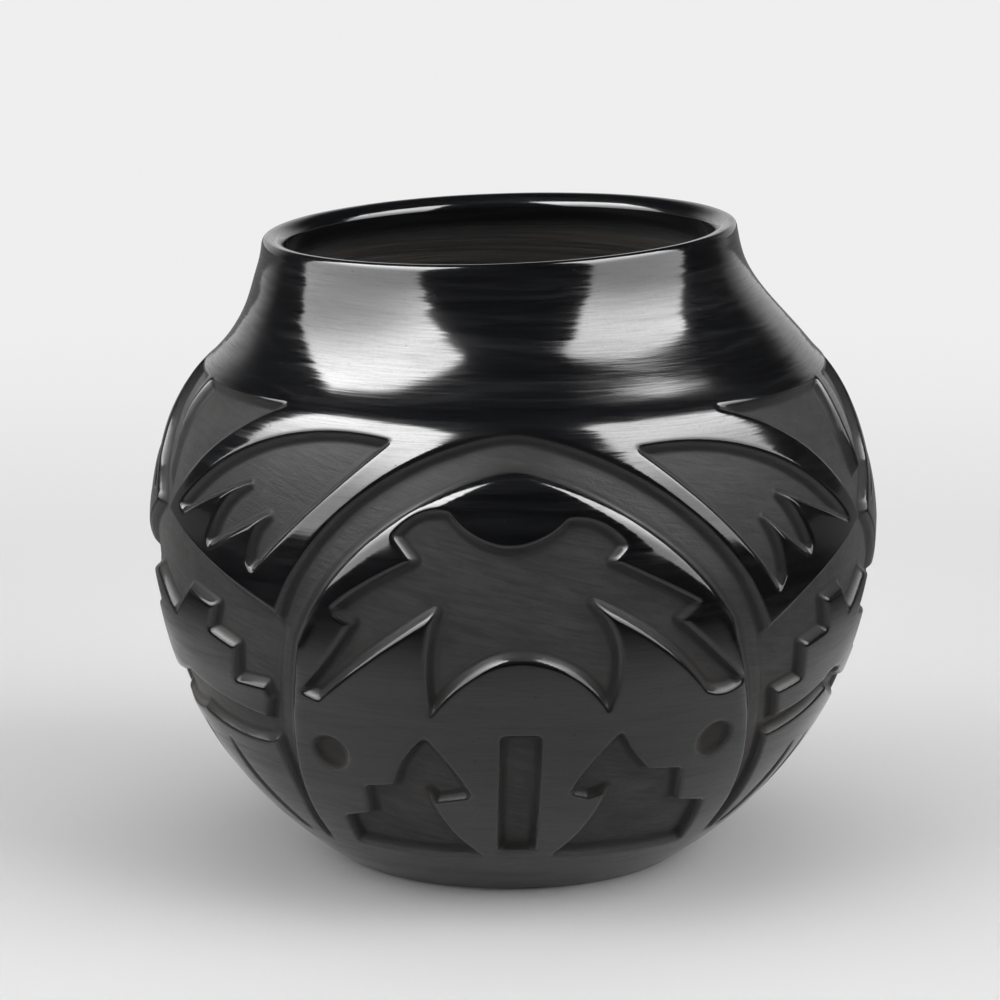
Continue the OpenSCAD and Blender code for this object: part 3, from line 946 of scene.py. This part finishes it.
# The full glare of a box shows in the polish, and a share of it lights the clay and floor
def addSoftBox(box, ending, level, inPolish):
    light = bpy.data.lights.new(box["name"] + ending, "AREA")
    light.shape = "RECTANGLE"
    width = 2 * math.tan(math.radians(box["wide"] / 2))
    height = 2 * math.tan(math.radians(box["tall"] / 2))
    light.size = studio["boxDistance"] * width
    light.size_y = studio["boxDistance"] * height
    light.energy = level * math.pi * light.size * light.size_y
    light.use_nodes = True
    b = Bench(light.node_tree)
    across = b.node("ShaderNodeNewGeometry", output=5)
    split = b.node("ShaderNodeSeparateXYZ", sockets={0: across}).socket.node
    u = (Wire(b, split.outputs[0]) - 0.5) * width
    v = (Wire(b, split.outputs[1]) - 0.5) * height

    def edgeLine(name, along):
        place, slope = box[name]
        return along * slope + place

    fade = studio["boxFade"]
    shape = b.between(u - edgeLine("leftEdge", v), 0.0, fade)
    shape = shape * b.between(edgeLine("rightEdge", v) - u, 0.0, fade)
    shape = shape * b.between(v - edgeLine("bottomEdge", u), 0.0, fade)
    shape = shape * b.between(edgeLine("topEdge", u) - v, 0.0, fade)
    bright = b.between(v, box["brightFrom"], box["brightTo"]) * (box["high"] - box["low"])
    glow = light.node_tree.nodes["Emission"]
    light.node_tree.links.new((shape * (bright + box["low"])).socket, glow.inputs["Strength"])
    lamp = bpy.data.objects.new(box["name"] + ending, light)
    lamp.visible_glossy = inPolish
    lamp.visible_diffuse = not inPolish
    lamp.location = pointAt(box["angle"], box["rise"], studio["boxDistance"],
                            (0, 0, studio["boxAim"]))
    lamp.rotation_euler = (math.radians(90 - box["rise"]), 0, math.radians(box["angle"]))
    bpy.context.scene.collection.objects.link(lamp)


def addTopLight():
    light = bpy.data.lights.new("topLight", "AREA")
    light.size = studio["topSize"]
    light.energy = studio["topRadiance"] * math.pi * light.size ** 2
    lamp = bpy.data.objects.new("topLight", light)
    lamp.location = (0, 0, studio["topHeight"])
    lamp.visible_glossy = False
    bpy.context.scene.collection.objects.link(lamp)


def addFloor():
    half = studio["floorSize"] / 2
    mesh = bpy.data.meshes.new("studioFloor")
    mesh.from_pydata([(-half, -half, 0), (half, -half, 0), (half, half, 0), (-half, half, 0)],
                     [], [(0, 1, 2, 3)])
    floor = bpy.data.objects.new("studioFloor", mesh)
    bpy.context.scene.collection.objects.link(floor)
    material = bpy.data.materials.new("palePaper")
    material.use_nodes = True
    material.node_tree.nodes.clear()
    b = Bench(material.node_tree)
    paper = b.node("ShaderNodeBsdfPrincipled", sockets={
        "Base Color": studio["floorColour"], "Roughness": studio["floorRoughness"]})
    place = b.node("ShaderNodeTexCoord", output=3)
    away = b.node("ShaderNodeVectorMath", {"operation": "LENGTH"}, {0: place}, 1)
    depth = Wire(b, b.node("ShaderNodeSeparateXYZ", sockets={0: place}).socket.node.outputs[1])
    path = b.node("ShaderNodeLightPath").socket.node
    seen = Wire(b, path.outputs["Is Camera Ray"])
    mirrored = Wire(b, path.outputs["Is Glossy Ray"])
    shade = b.mixColour(b.between(depth, 0.0, studio["paperDepth"]),
                        studio["paperNear"], studio["paperFar"])
    # The polish mirrors the paper near the jar and behind it, and darkness to the sides
    behind = b.mixColour(b.between(depth, studio["behindFrom"], studio["behindTo"]),
                         studio["mirroredDark"], studio["mirroredBehind"])
    glow = b.node("ShaderNodeEmission", sockets={
        "Color": b.mixColour(mirrored, shade, behind), "Strength": 1.0})
    share = seen * b.between(away, studio["shadowReach"], studio["paperReach"])
    share = share + mirrored * b.between(away, studio["mirroredNear"], studio["mirroredFar"])
    both = b.node("ShaderNodeMixShader", sockets={0: share, 1: paper, 2: glow})
    b.node("ShaderNodeOutputMaterial", sockets={"Surface": both})
    mesh.materials.append(material)


# Between which shares of a direction, backwards or upwards, each part of the surround sets in
surroundMasks = {
    "behind": (0.55, 0.9), "behindTop": (0.2, 0.5), "low": (0.1, 0.75), "lowTop": (0.05, 0.75),
    "overhead": (0.0, 0.8), "lightBehind": (0.1, 0.9),
}


# Polished clay mirrors the surround: dark in front and overhead, pale near the floor behind
def addSurround():
    world = bpy.data.worlds.new("studioSurround")
    bpy.context.scene.world = world
    world.use_nodes = True
    world.node_tree.nodes.clear()
    b = Bench(world.node_tree)
    way = b.node("ShaderNodeTexCoord", output=0)
    split = b.node("ShaderNodeSeparateXYZ", sockets={0: way}).socket.node
    across = Wire(b, split.outputs[0])
    back = Wire(b, split.outputs[1])
    high = Wire(b, split.outputs[2])
    path = b.node("ShaderNodeLightPath").socket.node
    seen = Wire(b, path.outputs["Is Camera Ray"])
    mirrored = Wire(b, path.outputs["Is Glossy Ray"])

    def masked(name, value):
        return b.between(value, *surroundMasks[name])

    behind = masked("behind", back) * (1.0 - masked("behindTop", high))
    low = masked("low", back) * (1.0 - masked("lowTop", high))
    reflected = studio["surroundDark"] + low * studio["surroundLow"]
    reflected = reflected + behind * studio["surroundBehind"]
    light = b.mixNumber(masked("overhead", high), studio["surroundSide"], studio["surroundTop"])
    spread = across * across * studio["surroundAcross"] + studio["surroundFront"]
    light = light * (spread + masked("lightBehind", back) * studio["surroundBack"])
    strength = b.mixNumber(mirrored, light, reflected)
    strength = b.mixNumber(seen, strength, studio["surroundSeen"])
    shade = b.node("ShaderNodeBackground", sockets={"Color": (1, 1, 1, 1), "Strength": strength})
    b.node("ShaderNodeOutputWorld", sockets={"Surface": shade})


cameraView = {
    "distance": 1.430, "rise": 12.599, "aimHeight": 0.12592, "lens": 143.316, "shift": -0.013,
    "sensor": 36.0, "clipEnd": 50.0,
}


def addCamera():
    camera = bpy.data.cameras.new("photoView")
    camera.lens = cameraView["lens"]
    camera.sensor_width = cameraView["sensor"]
    camera.shift_x = cameraView["shift"]
    camera.clip_end = cameraView["clipEnd"]
    holder = bpy.data.objects.new("photoView", camera)
    holder.location = pointAt(0.0, cameraView["rise"], cameraView["distance"],
                              (0, 0, cameraView["aimHeight"]))
    holder.rotation_euler = (math.radians(90 - cameraView["rise"]), 0, 0)
    bpy.context.scene.collection.objects.link(holder)
    bpy.context.scene.camera = holder


for softBox in softBoxes:
    addSoftBox(softBox, "Shine", 1.0, True)
    addSoftBox(softBox, "Fill", softBox["fill"], False)
addTopLight()
addFloor()
addSurround()
addCamera()
bpy.context.scene.view_settings.view_transform = "Standard"
print("studio ready")
